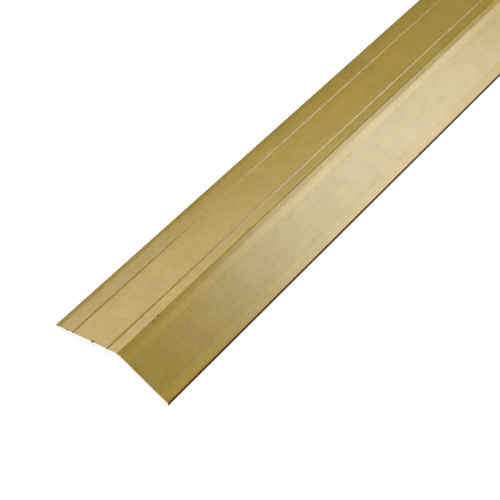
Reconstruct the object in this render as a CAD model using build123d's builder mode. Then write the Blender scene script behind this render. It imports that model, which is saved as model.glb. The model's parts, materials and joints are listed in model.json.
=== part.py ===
"""Ramp threshold strip: a gold-anodised aluminium extrusion with adhesive tape and a peel-off liner.

The strip bridges two floors of different height. Its flat flange is stuck down on the higher
floor, and its ramp slopes down to the lower one.

Frame: X runs across the strip, from the flange's outer edge (-X) to the ramp's toe (+X).
Y runs along the strip. Z is up, and Z = 0 is the lower floor, where the toe rests.
The origin is the centre of the strip's footprint on that floor. All sizes are in millimetres.
"""

import os
from math import cos, radians, tan

from build123d import *

# Driving dimensions of the extruded profile
LENGTH = 900.0
WIDTH = 40.0
WALL = 1.4
FLANGE_WIDTH = 22.3        # flange's outer edge to the corner where the ramp begins
RAMP_ANGLE = 30.5          # the ramp's slope below the flange
TOE_HEIGHT = 1.1           # upright face at the ramp's lower edge
NOSE_WIDTH = 1.6           # slightly bevelled border along the flange's outer edge
NOSE_DROP = 0.2            # how far that border falls to the edge
EDGE_RADIUS = 0.15        # rounded edges of the flange and of the toe
BEND_RADIUS = 2.0          # outside radius where flange and ramp meet

# Narrow strip beside the bend, where the ramp starts a little flatter
SHOULDER_WIDTH = 1.8
SHOULDER_ANGLE = RAMP_ANGLE - 2

# Two decorative grooves along the flange. Each has a gentle wall, nearly as steep as the ramp, that
# falls towards the ramp, and a steep wall back up
GROOVE_PLACES = (5.9, 18.4)    # from the flange's outer edge to each groove's gentle wall
GROOVE_GENTLE_WIDTH = 0.46
GROOVE_STEEP_WIDTH = 0.12
GROOVE_DEPTH = 0.27
GROOVE_ROOT_RADIUS = 0.05

# Foam tape on the flange's underside, and the liner that covers its sticky face
TAPE_WIDTH = 15.0
TAPE_THICKNESS = 1.0
TAPE_MIDDLE = 11.0             # from the flange's outer edge
LINER_WIDTH = 17.0
LINER_THICKNESS = 0.12
END_SETBACK = 5.0              # bare underside left at each end of the strip

# Places that follow from the driving dimensions
OUTER_EDGE = -WIDTH / 2
TOE_EDGE = WIDTH / 2
CORNER_X = OUTER_EDGE + FLANGE_WIDTH
SHOULDER_X = CORNER_X + SHOULDER_WIDTH
RAMP_DROP = (TOE_EDGE - SHOULDER_X) * tan(radians(RAMP_ANGLE))
SHOULDER_Z = TOE_HEIGHT + RAMP_DROP
TOP_Z = SHOULDER_Z + SHOULDER_WIDTH * tan(radians(SHOULDER_ANGLE))
UNDERSIDE_Z = TOP_Z - WALL
TAPE_LENGTH = LENGTH - 2 * END_SETBACK
TAPE_X = OUTER_EDGE + TAPE_MIDDLE

# The ramp's inner face lies one wall below its outer face
RAMP_WALL_Z = WALL / cos(radians(RAMP_ANGLE))
FOOT_X = TOE_EDGE - (RAMP_WALL_Z - TOE_HEIGHT) / tan(radians(RAMP_ANGLE))
INNER_CORNER_X = FOOT_X - UNDERSIDE_Z / tan(radians(RAMP_ANGLE))

# The cross-section is drawn in X and Z, and extruded both ways along Y
SECTION_PLANE = Plane.XZ


def corner_at(sketch, x, z):
    """The sketch's corner nearest to (x, z), given in the section's own axes."""
    return sketch.vertices().sort_by_distance((x, z, 0))[0]


def make_profile():
    """The extruded flange and ramp, in one piece of aluminium."""
    with BuildPart() as profile:
        with BuildSketch(SECTION_PLANE) as section:
            with BuildLine():
                Polyline(
                    (OUTER_EDGE, UNDERSIDE_Z),
                    (OUTER_EDGE, TOP_Z - NOSE_DROP),
                    (OUTER_EDGE + NOSE_WIDTH, TOP_Z),
                    (CORNER_X, TOP_Z),
                    (SHOULDER_X, SHOULDER_Z),
                    (TOE_EDGE, TOE_HEIGHT),
                    (TOE_EDGE, 0),
                    (FOOT_X, 0),
                    (INNER_CORNER_X, UNDERSIDE_Z),
                    close=True,
                )
            make_face()
            for x, z, radius in (
                (OUTER_EDGE, TOP_Z - NOSE_DROP, EDGE_RADIUS),
                (OUTER_EDGE, UNDERSIDE_Z, EDGE_RADIUS),
                (CORNER_X, TOP_Z, BEND_RADIUS),
                (INNER_CORNER_X, UNDERSIDE_Z, BEND_RADIUS - WALL),
                (TOE_EDGE, TOE_HEIGHT, EDGE_RADIUS),
            ):
                fillet(corner_at(section.sketch_local, x, z), radius=radius)
        extrude(amount=LENGTH / 2, both=True)

        for place in GROOVE_PLACES:
            root_x = OUTER_EDGE + place + GROOVE_GENTLE_WIDTH
            with BuildSketch(SECTION_PLANE) as groove:
                with BuildLine():
                    Polyline(
                        (root_x - 2 * GROOVE_GENTLE_WIDTH, TOP_Z + GROOVE_DEPTH),
                        (root_x, TOP_Z - GROOVE_DEPTH),
                        (root_x + 2 * GROOVE_STEEP_WIDTH, TOP_Z + GROOVE_DEPTH),
                        close=True,
                    )
                make_face()
                root = corner_at(groove.sketch_local, root_x, TOP_Z - GROOVE_DEPTH)
                fillet(root, radius=GROOVE_ROOT_RADIUS)
            extrude(amount=LENGTH / 2, both=True, mode=Mode.SUBTRACT)
    profile.part.label = "ramp_profile"
    return profile


def make_tape():
    """Double-sided foam tape, stuck to the flange's underside."""
    with BuildPart() as tape:
        with BuildSketch(Plane.XY.offset(UNDERSIDE_Z)):
            with Locations((TAPE_X, 0)):
                Rectangle(TAPE_WIDTH, TAPE_LENGTH)
        extrude(amount=-TAPE_THICKNESS)
    tape.part.label = "adhesive_tape"
    return tape


def make_liner():
    """Release liner, which stands out past the tape on both sides so that it can be gripped."""
    with BuildPart() as liner:
        with BuildSketch(Plane.XY.offset(UNDERSIDE_Z - TAPE_THICKNESS)):
            with Locations((TAPE_X, 0)):
                Rectangle(LINER_WIDTH, TAPE_LENGTH)
        extrude(amount=-LINER_THICKNESS)
    liner.part.label = "release_liner"
    return liner


os.makedirs("parts", exist_ok=True)

for piece in (make_profile(), make_tape(), make_liner()):
    export_step(piece.part, f"parts/{piece.part.label}.step")
    print(piece.part.label, "volume", round(piece.part.volume, 1), "mm3")

print("top of flange", round(TOP_Z, 3), "mm above the lower floor")
print("underside of liner", round(UNDERSIDE_Z - TAPE_THICKNESS - LINER_THICKNESS, 3), "mm")
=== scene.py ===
"""Looks of a ramp threshold strip: a gold anodised aluminium extrusion, foam tape and its paper liner.

Lengths are in metres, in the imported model's frame: X runs across the strip from the flange's outer
edge to the ramp's toe, Y along the strip and Z up from the lower floor.
"""

import json
import math

import bpy
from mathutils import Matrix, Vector, noise
from mathutils.geometry import delaunay_2d_cdt

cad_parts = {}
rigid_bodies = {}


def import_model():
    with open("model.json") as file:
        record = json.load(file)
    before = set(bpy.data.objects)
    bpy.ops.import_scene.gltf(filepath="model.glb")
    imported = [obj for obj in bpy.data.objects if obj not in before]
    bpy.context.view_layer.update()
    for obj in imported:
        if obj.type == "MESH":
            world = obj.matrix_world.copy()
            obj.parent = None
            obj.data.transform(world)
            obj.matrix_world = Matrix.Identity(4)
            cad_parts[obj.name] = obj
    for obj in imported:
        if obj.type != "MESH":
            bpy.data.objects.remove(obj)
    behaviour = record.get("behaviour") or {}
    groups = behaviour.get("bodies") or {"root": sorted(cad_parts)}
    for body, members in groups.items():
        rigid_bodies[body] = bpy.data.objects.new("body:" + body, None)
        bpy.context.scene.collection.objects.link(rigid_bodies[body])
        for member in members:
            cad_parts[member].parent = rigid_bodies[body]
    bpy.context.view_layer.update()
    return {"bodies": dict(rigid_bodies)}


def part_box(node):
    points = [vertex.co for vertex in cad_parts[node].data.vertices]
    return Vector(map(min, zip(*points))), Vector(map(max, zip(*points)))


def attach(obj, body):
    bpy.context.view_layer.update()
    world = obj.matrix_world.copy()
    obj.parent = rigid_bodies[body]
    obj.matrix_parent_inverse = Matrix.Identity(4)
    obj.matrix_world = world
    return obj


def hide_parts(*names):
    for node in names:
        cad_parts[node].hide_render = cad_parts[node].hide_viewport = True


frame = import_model()
BODY = next(iter(frame["bodies"]))

MM = 0.001

# The extrusion's place comes from the frame, and these are its own driving sizes
profile_low, profile_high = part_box("ramp_profile")
OUTER_EDGE = profile_low.x
TOE_EDGE = profile_high.x
NEAR_END = profile_low.y
FAR_END = profile_high.y
TOP_Z = profile_high.z
WALL = 1.4 * MM
FLANGE_WIDTH = 22.3 * MM
SHOULDER_WIDTH = 1.8 * MM
TOE_HEIGHT = 1.1 * MM
RAMP_ANGLE = math.radians(30.5)
NOSE_WIDTH = 1.6 * MM                      # bevelled border along the flange's outer edge
NOSE_DROP = 0.11 * MM
GROOVE_PLACES = (18.4 * MM, 5.9 * MM)      # from the outer edge, the inner groove first
GROOVE_GENTLE_WIDTH = 0.54 * MM            # wall that falls towards the ramp
GROOVE_STEEP_WIDTH = 0.12 * MM             # wall that climbs back up
GROOVE_DEPTH = 0.32 * MM

# The die leaves the outer half of the flange's top a little crowned, the ramp a little steeper along
# its upper border and a little flatter along its toe
CROWN_WIDTH = 15 * MM
CROWN_DROP = 0.23 * MM
RAMP_TOP_BORDER = 2.0 * MM
RAMP_TOE_BORDER = 2.9 * MM
RAMP_TOP_ANGLE = math.radians(31.3)
RAMP_TOE_ANGLE = math.radians(29.3)

UNDERSIDE_Z = TOP_Z - WALL
CORNER_X = OUTER_EDGE + FLANGE_WIDTH
SHOULDER_X = CORNER_X + SHOULDER_WIDTH
SHOULDER_Z = TOE_HEIGHT + (TOE_EDGE - SHOULDER_X) * math.tan(RAMP_ANGLE)
RAMP_WALL_Z = WALL / math.cos(RAMP_ANGLE)
FOOT_X = TOE_EDGE - (RAMP_WALL_Z - TOE_HEIGHT) / math.tan(RAMP_ANGLE)
INNER_CORNER_X = FOOT_X - UNDERSIDE_Z / math.tan(RAMP_ANGLE)

# Mesh fineness
ARC_STEP = math.radians(7)
LONGEST_SPAN = 0.6 * MM
SAWN_EDGE = 0.05 * MM
EVEN_STATION = 12 * MM

# Small damage from the saw along the top edge of the near end: place across the strip, half its
# width and its depth
NICKS = (
    (-15.7 * MM, 0.28 * MM, 0.30 * MM),
    (-6.5 * MM, 0.32 * MM, 0.36 * MM),
    (2.6 * MM, 0.22 * MM, 0.25 * MM),
)
SCORE_X = -6.5 * MM                       # a score that runs down the sawn face from a nick
SCORE_HALF_WIDTH = 0.09 * MM
SCORE_LEAN = 0.25                         # how far it leans for each unit of height
BURRS = ((-16.6 * MM, -8.1 * MM), (-2.9 * MM, 0.9 * MM))   # stretches of the lower edge with a burr
BURR_HEIGHT = 0.16 * MM

# Dark marks, each a place and a radius: painted shade in the saw's nicks, and two specks on the bend
MARKS = tuple(((x, NEAR_END, TOP_Z - 0.05 * MM), 1.7 * half_width) for x, half_width, _ in NICKS) + (
    ((2.47 * MM, NEAR_END + 19.8 * MM, TOP_Z - 0.15 * MM), 0.40 * MM),
    ((2.72 * MM, NEAR_END + 17.1 * MM, TOP_Z - 0.20 * MM), 0.30 * MM),
)
NICK_SHADE_AND_SPECK_COLOUR = (0.012, 0.008, 0.002, 1)


# ---------------------------------------------------------------- section of the extrusion


def section_corners():
    """The section's corners as (x, z, radius), counter-clockwise as seen from the near end."""
    corners = [
        (OUTER_EDGE, UNDERSIDE_Z, 0.2 * MM),
        (INNER_CORNER_X, UNDERSIDE_Z, 0.6 * MM),
        (FOOT_X, 0, 0.1 * MM),
        (TOE_EDGE, 0, 0.1 * MM),
        (TOE_EDGE, TOE_HEIGHT, 0.12 * MM),
        (
            TOE_EDGE - RAMP_TOE_BORDER,
            TOE_HEIGHT + RAMP_TOE_BORDER * math.tan(RAMP_TOE_ANGLE),
            3.0 * MM,
        ),
        (
            SHOULDER_X + RAMP_TOP_BORDER,
            SHOULDER_Z - RAMP_TOP_BORDER * math.tan(RAMP_TOP_ANGLE),
            6.0 * MM,
        ),
        (SHOULDER_X, SHOULDER_Z, 3.0 * MM),
        (CORNER_X, TOP_Z, 2.0 * MM),
    ]
    for place in GROOVE_PLACES:
        root_x = OUTER_EDGE + place + GROOVE_GENTLE_WIDTH
        corners += [
            (root_x + GROOVE_STEEP_WIDTH, TOP_Z, 0.09 * MM),
            (root_x, TOP_Z - GROOVE_DEPTH, 0.05 * MM),
            (OUTER_EDGE + place, TOP_Z, 0.8 * MM),
        ]
    corners.append((OUTER_EDGE + NOSE_WIDTH, TOP_Z, 4.0 * MM))
    corners.append((OUTER_EDGE, TOP_Z - NOSE_DROP, 0.15 * MM))
    return corners


def crowned(point, normal):
    """An outline point and its normal once the flange's top is crowned towards its outer edge."""
    share = max(0, 1 - (point.x - OUTER_EDGE) / CROWN_WIDTH)
    height = min(1, max(0, (point.y - UNDERSIDE_Z) / WALL))
    drop = CROWN_DROP * share ** 2 * height
    slope = 2 * CROWN_DROP * share / CROWN_WIDTH * height
    return Vector((point.x, point.y - drop)), Vector((normal.x - slope * normal.y, normal.y)).normalized()


def nick_places():
    """Places across the strip that need a point of their own on the top edge, to shape the nicks."""
    shares = (-1, -0.45, 0, 0.45, 1)
    return [x + half_width * share for x, half_width, _ in NICKS for share in shares]


def along_span(start, end, normal, marks):
    """Points inside a straight span, evenly spaced, plus the marks that lie on an upward face."""
    length = (end - start).length
    pieces = max(1, math.ceil(length / LONGEST_SPAN))
    shares = [k / pieces for k in range(1, pieces)]
    if normal.y > 0.5:
        reach = end.x - start.x
        shares = [
            share for share in shares
            if min(abs(start.x + reach * share - x) for x in marks) > 0.12 * MM
        ]
        shares += [(x - start.x) / reach for x in marks if 0.02 < (x - start.x) / reach < 0.98]
    return [start.lerp(end, share) for share in sorted(shares)]


def rounded_outline(corners, marks):
    """(point, outward normal) pairs round a closed outline whose corners are rounded."""
    arcs = []
    for i, (x, z, radius) in enumerate(corners):
        here = Vector((x, z))
        arriving = (here - Vector(corners[i - 1][:2])).normalized()
        leaving = (Vector(corners[(i + 1) % len(corners)][:2]) - here).normalized()
        turn = math.atan2(arriving.cross(leaving), arriving.dot(leaving))
        side = math.copysign(1, turn)
        start = here - arriving * radius * math.tan(abs(turn) / 2)
        normal = Vector((arriving.y, -arriving.x))
        centre = start - normal * radius * side
        steps = max(2, math.ceil(abs(turn) / ARC_STEP))
        arc = []
        for k in range(steps + 1):
            angle = turn * k / steps
            spun = Vector((
                normal.x * math.cos(angle) - normal.y * math.sin(angle),
                normal.x * math.sin(angle) + normal.y * math.cos(angle),
            ))
            arc.append((centre + spun * radius * side, spun))
        arcs.append(arc)
    outline = []
    for arc, following in zip(arcs, arcs[1:] + arcs[:1]):
        outline += arc
        end, normal = arc[-1]
        outline += [(p, normal) for p in along_span(end, following[0][0], normal, marks)]
    return [crowned(point, normal) for point, normal in outline]


# ---------------------------------------------------------------- mesh of the extrusion


def stations():
    """Places along the strip for its rings: close together at the ends, evenly spaced between."""
    offsets = [SAWN_EDGE]
    gap = 0.35 * MM
    while gap < EVEN_STATION:
        offsets.append(offsets[-1] + gap)
        gap *= 1.8
    first = NEAR_END + offsets[-1]
    last = FAR_END - offsets[-1]
    pieces = math.ceil((last - first) / EVEN_STATION)
    even = [first + (last - first) * k / pieces for k in range(1, pieces)]
    near = [NEAR_END + offset for offset in offsets]
    far = [FAR_END - offset for offset in reversed(offsets)]
    return near + even + far


def nick_depth(x, z):
    """How deep the nicks cut into the near end at a point of the section."""
    if z < TOP_Z - 0.9 * WALL:
        return 0.0
    depth = 0.0
    for place, half_width, deepest in NICKS:
        share = 1 - abs(x - place) / half_width
        depth = max(depth, deepest * share)
    return depth


def burr_share(x, z):
    """1 on the part of the near end's lower edge that has a burr, falling to 0 at its ends."""
    if z > UNDERSIDE_Z + 0.3 * MM:
        return 0.0
    for start, end in BURRS:
        if start < x < end:
            ragged = 0.65 + 0.35 * noise.noise(Vector((x / (0.5 * MM), 0, 7)))
            return ragged * min(1, (x - start) / (0.8 * MM), (end - x) / (0.8 * MM))
    return 0.0


def score_distance(x, z):
    """How far a point of the near end lies from the score that runs down it."""
    return abs(x - SCORE_X - (TOP_Z - z) * SCORE_LEAN)


def sawn_point(point, normal, end, inward):
    """An outline point on a sawn end, with the saw's raggedness, nicks and burr."""
    x, z = point
    ragged = 0.03 * MM * noise.noise(Vector((x / (0.9 * MM), z / (0.9 * MM), end * 40)))
    pushed_in = abs(ragged)
    dropped = 0.0
    if end == NEAR_END:
        nick = nick_depth(x, z)
        pushed_in += nick
        dropped += 0.6 * nick
        burr = burr_share(x, z)
        pushed_in -= 0.7 * burr * BURR_HEIGHT
        dropped += burr * BURR_HEIGHT
    return Vector((x - normal.x * SAWN_EDGE, end + inward * pushed_in, z - normal.y * SAWN_EDGE - dropped))


def face_grid(outline):
    """Points inside the section for the sawn faces, in rows between its outer and inner faces."""
    rows = (0.22, 0.5, 0.78)
    points = []
    ramp_out = Vector((math.sin(RAMP_ANGLE), math.cos(RAMP_ANGLE)))
    flange_steps = round((CORNER_X - OUTER_EDGE) / (0.45 * MM))
    ramp_start = Vector((SHOULDER_X, SHOULDER_Z))
    ramp_end = Vector((TOE_EDGE, TOE_HEIGHT))
    ramp_steps = round((ramp_end - ramp_start).length / (0.45 * MM))
    for depth in rows:
        for k in range(flange_steps + 3):
            points.append(Vector((OUTER_EDGE + 0.45 * MM * (k + 0.7), TOP_Z - WALL * depth)))
        for k in range(ramp_steps):
            points.append(ramp_start.lerp(ramp_end, k / ramp_steps) - ramp_out * WALL * depth)
    for k in range(9):
        z = TOP_Z - WALL * (k + 0.5) / 9
        for side in (-1, 1):
            middle = SCORE_X + (TOP_Z - z) * SCORE_LEAN
            points.append(Vector((middle + side * SCORE_HALF_WIDTH, z)))
    clear = 0.14 * MM
    return [p for p in points if min((p - edge).length for edge, _ in outline) > clear]


class MeshParts:
    """Vertices, faces, each face's material and each face corner's normal, gathered for one mesh."""

    def __init__(self):
        self.points = []
        self.faces = []
        self.materials = []
        self.normals = []

    def add_point(self, point):
        self.points.append(point)
        return len(self.points) - 1

    def add_face(self, corners, normals, material=0):
        self.faces.append(corners)
        self.normals += normals
        self.materials.append(material)

    def make_object(self, name, materials):
        mesh = bpy.data.meshes.new(name)
        mesh.from_pydata(self.points, [], self.faces)
        for material in materials:
            mesh.materials.append(material)
        mesh.polygons.foreach_set("material_index", self.materials)
        mesh.shade_smooth()
        mesh.normals_split_custom_set(self.normals)
        piece = bpy.data.objects.new(name, mesh)
        bpy.context.scene.collection.objects.link(piece)
        return piece


GOLD_FACE, BARE_FACE = 0, 1


def add_sawn_end(parts, outline, ring, end, inward):
    """Closes one end of the extrusion: a narrow broken edge, then the sawn face itself."""
    axis = Vector((0, -inward, 0))
    rim = [parts.add_point(sawn_point(p, n, end, inward)) for p, n in outline]
    count = len(outline)
    for i in range(count):
        j = (i + 1) % count
        quad = [ring[i], ring[j], rim[j], rim[i]] if inward < 0 else [rim[i], rim[j], ring[j], ring[i]]
        quad.reverse()
        slants = {}
        for k in (i, j):
            normal = outline[k][1]
            slant = (Vector((normal.x, 0, normal.y)) + axis).normalized()
            slants[ring[k]] = slant
            slants[rim[k]] = slant
        parts.add_face(quad, [slants[k] for k in quad], GOLD_FACE)

    edge_points = [Vector((parts.points[k].x, parts.points[k].z)) for k in rim]
    inner_points = face_grid(outline)
    edges = [(i, (i + 1) % count) for i in range(count)]
    found, _, triangles, sources, _, _ = delaunay_2d_cdt(edge_points + inner_points, edges, [], 1, 1e-9)
    index = {}
    for k, point in enumerate(found):
        on_rim = [s for s in sources[k] if s < count]
        if on_rim:
            index[k] = rim[on_rim[0]]
            continue
        relief = 0.02 * MM * noise.noise(Vector((point.x, point.y, end)) / (0.7 * MM))
        if end == NEAR_END and score_distance(point.x, point.y) < 1.2 * SCORE_HALF_WIDTH:
            relief += 0.10 * MM
        index[k] = parts.add_point(Vector((point.x, end + inward * (0.02 * MM + relief), point.y)))
    for triangle in triangles:
        face = [index[k] for k in triangle]
        if inward < 0:
            face.reverse()
        parts.add_face(face, [axis] * 3, BARE_FACE)


def make_extrusion(gold, bare):
    """The strip's aluminium profile, swept along Y between its two sawn ends."""
    outline = rounded_outline(section_corners(), nick_places())
    parts = MeshParts()
    rings = []
    for y in stations():
        rings.append([parts.add_point(Vector((p.x, y, p.y))) for p, _ in outline])
    count = len(outline)
    for ring, following in zip(rings, rings[1:]):
        for i in range(count):
            j = (i + 1) % count
            here = Vector((outline[i][1].x, 0, outline[i][1].y))
            there = Vector((outline[j][1].x, 0, outline[j][1].y))
            parts.add_face([ring[i], following[i], following[j], ring[j]], [here, here, there, there])
    add_sawn_end(parts, outline, rings[0], NEAR_END, 1)
    add_sawn_end(parts, outline, rings[-1], FAR_END, -1)
    return parts.make_object("threshold_profile", [gold, bare])


# ---------------------------------------------------------------- tape and liner


def strip_grid(node, step):
    """The box of a flat CAD node, and its places along Y."""
    low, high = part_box(node)
    pieces = math.ceil((high.y - low.y) / step)
    return low, high, [low.y + (high.y - low.y) * k / pieces for k in range(pieces + 1)]


def swept_ring(name, rings, material, smooth_angle):
    """A closed piece through rings of points along Y, with flat ends."""
    faces = []
    count = len(rings[0])
    for r in range(len(rings) - 1):
        for i in range(count):
            j = (i + 1) % count
            a, b = r * count, (r + 1) * count
            faces.append((a + i, b + i, b + j, a + j))
    faces.append(tuple(range(count)))
    last = (len(rings) - 1) * count
    faces.append(tuple(last + i for i in reversed(range(count))))
    mesh = bpy.data.meshes.new(name)
    mesh.from_pydata([p for ring in rings for p in ring], [], faces)
    mesh.materials.append(material)
    mesh.shade_smooth()
    mesh.set_sharp_from_angle(angle=smooth_angle)
    piece = bpy.data.objects.new(name, mesh)
    bpy.context.scene.collection.objects.link(piece)
    return piece


def make_tape(material):
    """Foam tape: its slit sides wander a little and draw in between the two faces."""
    low, high, places = strip_grid("adhesive_tape", 3 * MM)
    height = high.z - low.z
    rings = []
    for y in places:
        left = low.x + 0.12 * MM * (1 + noise.noise(Vector((y / (9 * MM), 1, 0))))
        right = high.x - 0.12 * MM * (1 + noise.noise(Vector((y / (9 * MM), 5, 0))))
        draw_in = 0.10 * MM
        side = [(0, 0.00), (0.6, 0.25), (1, 0.5), (0.6, 0.75), (0, 1.00)]
        ring = []
        steps = 10
        for k in range(steps + 1):
            ring.append(Vector((left + (right - left) * k / steps, y, low.z)))
        for pull, share in side[1:-1]:
            ring.append(Vector((right - draw_in * pull, y, low.z + height * share)))
        for k in range(steps + 1):
            ring.append(Vector((right + (left - right) * k / steps, y, high.z)))
        for pull, share in reversed(side[1:-1]):
            ring.append(Vector((left + draw_in * pull, y, low.z + height * share)))
        rings.append(ring)
    return swept_ring("foam_tape", rings, material, math.radians(35))


def make_liner(material):
    """Release liner: thin paper under the tape, whose free edges dip a little and whose ends lift off."""
    low, high, places = strip_grid("release_liner", 4 * MM)
    thickness = high.z - low.z
    middle = (low.x + high.x) / 2
    half_width = (high.x - low.x) / 2
    steps = 18
    rings = []
    for y in places:
        from_end = min(y - places[0], places[-1] - y)
        lift = max(0, 1 - from_end / (9 * MM)) ** 2 * 1.3 * MM
        lower, upper = [], []
        for k in range(steps + 1):
            across = 2 * k / steps - 1
            x = middle + half_width * across
            edge_dip = max(0, abs(across) - 0.88) / 0.12 * 0.10 * MM
            wave = 0.5 + 0.5 * noise.noise(Vector((x / (6 * MM), y / (14 * MM), 3)))
            drop = edge_dip * wave + lift * (0.7 + 0.3 * wave)
            lower.append(Vector((x, y, low.z - drop)))
            upper.append(Vector((x, y, low.z - drop + thickness)))
        rings.append(lower + upper[::-1])
    return swept_ring("liner", rings, material, math.radians(50))


# ---------------------------------------------------------------- materials


class Recipe:
    """Adds nodes to one new material and links them."""

    def __init__(self, name):
        self.material = bpy.data.materials.new(name)
        self.material.use_nodes = True
        self.tree = self.material.node_tree
        self.shader = self.tree.nodes["Principled BSDF"]
        coordinates = self.tree.nodes.new("ShaderNodeTexCoord")
        self.place = coordinates.outputs["Object"]

    def feed(self, socket, value):
        """Sets a socket to a value, or links it to another socket."""
        if isinstance(value, bpy.types.NodeSocket):
            self.tree.links.new(value, socket)
        else:
            socket.default_value = value

    def add(self, kind, values, **settings):
        """Adds a node, with its settings and the values of its inputs."""
        made = self.tree.nodes.new("ShaderNode" + kind)
        for setting, value in settings.items():
            setattr(made, setting, value)
        for name, value in values.items():
            self.feed(made.inputs[name], value)
        return made

    def finish(self, values):
        """Sets the shader's own inputs and returns the material."""
        for name, value in values.items():
            self.feed(self.shader.inputs[name], value)
        return self.material

    def scaled(self, size, place=None):
        """Coordinates in units of size, a length or one length for each axis."""
        sizes = size if isinstance(size, tuple) else (size, size, size)
        return self.add(
            "Mapping",
            {"Vector": place or self.place, "Scale": [1 / s for s in sizes]},
        ).outputs["Vector"]

    def noise(self, size, detail=2.0, roughness=0.5):
        """Noise from 0 to 1 whose patches are about size across."""
        made = self.add(
            "TexNoise",
            {"Vector": self.scaled(size), "Scale": 1.0, "Detail": detail, "Roughness": roughness},
        )
        return made.outputs["Fac"]

    def math(self, operation, first, second=0.0, third=0.0, clamp=False):
        made = self.add("Math", {}, operation=operation, use_clamp=clamp)
        for socket, value in zip(made.inputs, (first, second, third)):
            self.feed(socket, value)
        return made.outputs["Value"]

    def ramp(self, value, start, end, low=0.0, high=1.0):
        """value from start to end becomes low to high, and stays there beyond."""
        made = self.add(
            "MapRange",
            {"Value": value, "From Min": start, "From Max": end, "To Min": low, "To Max": high},
        )
        return made.outputs["Result"]

    def mix(self, share, first, second):
        """A colour between first and second."""
        made = self.add("Mix", {}, data_type="RGBA")
        self.feed(made.inputs["Factor"], share)
        self.feed(made.inputs[6], first)
        self.feed(made.inputs[7], second)
        return made.outputs[2]

    def within(self, value, start, end, fade):
        """1 where value lies between start and end, fading to 0 over the distance fade."""
        rising = self.ramp(value, start, start + fade)
        return self.math("MULTIPLY", rising, self.ramp(value, end - fade, end, 1, 0))

    def marks(self):
        """1 inside the dark marks, fading to 0 at their rims."""
        total = 0.0
        for centre, radius in MARKS:
            away = self.add("VectorMath", {0: self.place, 1: centre}, operation="DISTANCE").outputs["Value"]
            total = self.math("MAXIMUM", total, self.ramp(away, 0.55 * radius, radius, 1, 0))
        return total

    def bump(self, height, depth, normal=None):
        """A normal shaped by height from 0 to 1, which stands for depth."""
        values = {"Height": height, "Strength": 1.0, "Distance": depth}
        if normal is not None:
            values["Normal"] = normal
        return self.add("Bump", values).outputs["Normal"]


def make_gold():
    """Satin gold anodising over an extruded surface, whose die lines run along the strip."""
    m = Recipe("gold_anodised")
    x = m.add("SeparateXYZ", {"Vector": m.place}).outputs["X"]
    die_lines = m.noise((0.35 * MM, 90 * MM, 0.35 * MM), detail=3)
    streaks = m.ramp(m.noise((0.5 * MM, 14 * MM, 0.5 * MM), detail=3), 0.3, 0.7)
    cloud = m.ramp(m.noise(7 * MM, detail=3), 0.35, 0.65)
    mottle = m.ramp(m.noise(1.7 * MM, detail=4, roughness=0.65), 0.35, 0.65)

    tone = m.math("MULTIPLY", mottle, 0.45)
    tone = m.math("MULTIPLY_ADD", cloud, 0.3, tone)
    tone = m.math("MULTIPLY_ADD", streaks, 0.25, tone)
    # Painted shade: the flange's outer band, out to the outer groove, is a little darker on its upward
    # faces
    painted_outer_band_shade = m.ramp(x, OUTER_EDGE + 5.3 * MM, OUTER_EDGE + 5.9 * MM, 1, 0)
    # Painted highlight: the ramp's upper border and its toe border are lighter on their upward faces, with
    # a little less coat
    top_border = m.within(x, SHOULDER_X, SHOULDER_X + RAMP_TOP_BORDER, 0.2 * MM)
    toe_border = m.ramp(x, TOE_EDGE - RAMP_TOE_BORDER, TOE_EDGE - RAMP_TOE_BORDER + 0.2 * MM)
    facing = m.add("SeparateXYZ", {"Vector": m.add("NewGeometry", {}).outputs["Normal"]}).outputs["Z"]
    on_top = m.ramp(facing, -0.1, 0.1)
    painted_border_highlight = m.math("MULTIPLY", on_top, m.math("MAXIMUM", top_border, toe_border))
    painted_outer_band_shade = m.math("MULTIPLY", on_top, painted_outer_band_shade)
    tone = m.math("MULTIPLY_ADD", painted_border_highlight, 0.45, m.math("MULTIPLY_ADD", painted_outer_band_shade, -0.2, tone))
    gold = m.mix(tone, (0.505, 0.336, 0.003, 1), (0.655, 0.441, 0.007, 1))
    # Painted dark reflection: the toe's upright face is coloured dark brown and loses its coat, standing in
    # for the dark surroundings it reflects
    painted_toe_reflection = m.ramp(x, TOE_EDGE - 0.16 * MM, TOE_EDGE - 0.08 * MM)
    colour = m.mix(painted_toe_reflection, gold, (0.05, 0.036, 0.008, 1))
    # The marks: painted shade in the saw's nicks, dark specks on the bend, then sparse dark specks along
    # the strip
    marks = m.marks()
    specks = m.add("TexVoronoi", {"Vector": m.scaled(38 * MM), "Scale": 1.0}).outputs["Distance"]
    marks = m.math("MAXIMUM", marks, m.ramp(specks, 0.004, 0.008, 0.6, 0))
    colour = m.mix(marks, colour, NICK_SHADE_AND_SPECK_COLOUR)

    rough = m.ramp(die_lines, 0.3, 0.7, 0.46, 0.54)
    sheen = m.ramp(m.math("MULTIPLY_ADD", mottle, 0.6, m.math("MULTIPLY", cloud, 0.4)), 0, 1, 0.80, 1.0)
    hidden = m.math("MAXIMUM", marks, painted_toe_reflection)
    sheen = m.math("MULTIPLY_ADD", painted_border_highlight, -0.03, sheen)
    coat = m.math("MULTIPLY", sheen, m.math("SUBTRACT", 1, hidden))
    relief = m.bump(die_lines, 0.0012 * MM, m.bump(mottle, 0.0006 * MM))
    return m.finish({
        "Base Color": colour,
        "Metallic": 1.0,
        "Roughness": rough,
        "Normal": relief,
        "Coat Weight": coat,
        "Coat Roughness": 0.2,
        "Coat IOR": 2.05,
        "Coat Normal": relief,
    })


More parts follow.
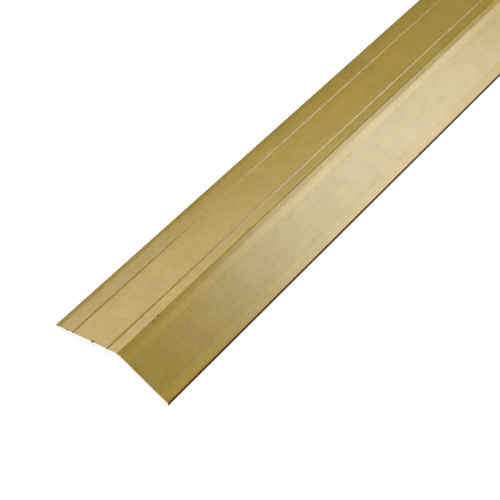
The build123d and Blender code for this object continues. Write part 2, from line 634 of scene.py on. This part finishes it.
def make_bare():
    """Bare aluminium as a fine saw leaves it, with painted shade along the near end's score and burr."""
    m = Recipe("sawn_aluminium")
    place = m.add("SeparateXYZ", {"Vector": m.place}).outputs
    x, y, z = place["X"], place["Y"], place["Z"]
    # Painted shade: a dark olive along the score down the near end and along its burred lower edge
    lean = m.math("MULTIPLY_ADD", z, SCORE_LEAN, m.math("SUBTRACT", x, SCORE_X + TOP_Z * SCORE_LEAN))
    score = m.within(lean, -SCORE_HALF_WIDTH, SCORE_HALF_WIDTH, 0.05 * MM)
    burr = 0.0
    for start, end in BURRS:
        burr = m.math("MAXIMUM", burr, m.within(x, start, end, 1.5 * MM))
    burr = m.math("MULTIPLY", burr, m.ramp(z, UNDERSIDE_Z + 0.06 * MM, UNDERSIDE_Z + 0.14 * MM, 0.7, 0))
    painted_score_and_burr_shade = m.math("MULTIPLY", m.math("MAXIMUM", score, burr), m.ramp(y, -MM, MM, 1, 0))
    teeth = m.noise((0.09 * MM, 4 * MM, 1.6 * MM), detail=3)
    blotch = m.noise(1.1 * MM, detail=2)
    colour = m.mix(blotch, (0.86, 0.86, 0.85, 1), (0.97, 0.97, 0.96, 1))
    colour = m.mix(painted_score_and_burr_shade, colour, (0.30, 0.26, 0.13, 1))
    # The marks: painted shade in the saw's nicks, and the dark specks
    colour = m.mix(m.marks(), colour, NICK_SHADE_AND_SPECK_COLOUR)
    return m.finish({
        "Base Color": colour,
        "Metallic": 1.0,
        "Roughness": m.ramp(teeth, 0.3, 0.7, 0.36, 0.5),
        "Normal": m.bump(teeth, 0.006 * MM),
    })


def make_foam():
    """White closed-cell foam."""
    m = Recipe("foam")
    cells = m.add("TexVoronoi", {"Vector": m.scaled(0.16 * MM), "Scale": 1.0})
    cell = m.ramp(cells.outputs["Distance"], 0.1, 0.8)
    patch = m.noise(5 * MM, detail=3)
    colour = m.mix(m.math("MULTIPLY", cell, patch), (0.86, 0.86, 0.84, 1), (0.70, 0.70, 0.68, 1))
    return m.finish({
        "Base Color": colour,
        "Roughness": m.ramp(patch, 0.3, 0.7, 0.8, 0.95),
        "Normal": m.bump(cell, 0.03 * MM),
    })


def make_paper():
    """Kraft release paper with its fibres and a silicone sheen."""
    m = Recipe("kraft_liner")
    fibres = m.noise((0.25 * MM, 1.6 * MM, 0.25 * MM), detail=4, roughness=0.65)
    patch = m.noise(6 * MM, detail=3)
    share = m.ramp(m.math("ADD", fibres, patch), 0.7, 1.3)
    colour = m.mix(share, (0.50, 0.37, 0.21, 1), (0.62, 0.48, 0.29, 1))
    return m.finish({
        "Base Color": colour,
        "Roughness": m.ramp(patch, 0.3, 0.7, 0.42, 0.58),
        "Normal": m.bump(fibres, 0.008 * MM),
    })


# ---------------------------------------------------------------- stage


AIM = Vector((4.3 * MM, NEAR_END + 65.1 * MM, 5.7 * MM))
CAMERA_AZIMUTH = 33.96
CAMERA_ELEVATION = 39.84
CAMERA_DISTANCE = 597.1 * MM
CAMERA_LENS = 139.5


def direction(azimuth, elevation):
    """From the aim point towards an azimuth, turned from +Y towards +X, and an elevation."""
    a, e = math.radians(azimuth), math.radians(elevation)
    return Vector((math.sin(a) * math.cos(e), math.cos(a) * math.cos(e), math.sin(e)))


def make_camera():
    camera = bpy.data.objects.new("camera", bpy.data.cameras.new("camera"))
    bpy.context.scene.collection.objects.link(camera)
    back = direction(180 - CAMERA_AZIMUTH, CAMERA_ELEVATION)
    camera.location = AIM + back * CAMERA_DISTANCE
    camera.rotation_euler = (-back).to_track_quat("-Z", "Y").to_euler()
    camera.data.lens = CAMERA_LENS
    camera.data.sensor_width = 36
    camera.data.clip_start = 0.01
    bpy.context.scene.camera = camera


LIGHT_DISTANCE = 1.6


def make_softbox(name, azimuth, elevation, width, height, radiance):
    """A soft rectangular light that faces the strip's near part."""
    light = bpy.data.lights.new(name, "AREA")
    light.shape = "RECTANGLE"
    light.size = width
    light.size_y = height
    light.energy = radiance * math.pi * width * height
    softbox = bpy.data.objects.new(name, light)
    bpy.context.scene.collection.objects.link(softbox)
    away = direction(azimuth, elevation)
    softbox.location = AIM + away * LIGHT_DISTANCE
    softbox.rotation_euler = away.to_track_quat("Z", "Y").to_euler()
    softbox.visible_camera = False


def make_floor():
    bpy.ops.mesh.primitive_plane_add(size=8)
    floor = bpy.context.object
    floor.name = "floor"
    m = Recipe("pale_floor")
    speckle = m.noise(3 * MM, detail=2)
    m.finish({
        "Base Color": m.mix(speckle, (0.60, 0.60, 0.60, 1), (0.63, 0.63, 0.63, 1)),
        "Roughness": 0.9,
        "Emission Color": (1, 1, 1, 1),
        "Emission Strength": 0.9,
    })
    floor.data.materials.append(m.material)


def make_world():
    world = bpy.data.worlds.new("studio")
    world.use_nodes = True
    background = world.node_tree.nodes["Background"]
    background.inputs["Color"].default_value = (1, 1, 1, 1)
    background.inputs["Strength"].default_value = 0.265
    bpy.context.scene.world = world


# ---------------------------------------------------------------- the scene

make_camera()
make_world()
make_floor()
make_softbox("left_softbox", -36, 57, 0.90, 1.10, 1.32)
make_softbox("right_softbox", 25.4, 35.4, 0.27, 0.49, 3.8)

profile = make_extrusion(make_gold(), make_bare())
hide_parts("ramp_profile")

tape = make_tape(make_foam())
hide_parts("adhesive_tape")

liner = make_liner(make_paper())
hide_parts("release_liner")

for piece in (profile, tape, liner):
    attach(piece, BODY)

bpy.context.scene.view_settings.view_transform = "Standard"
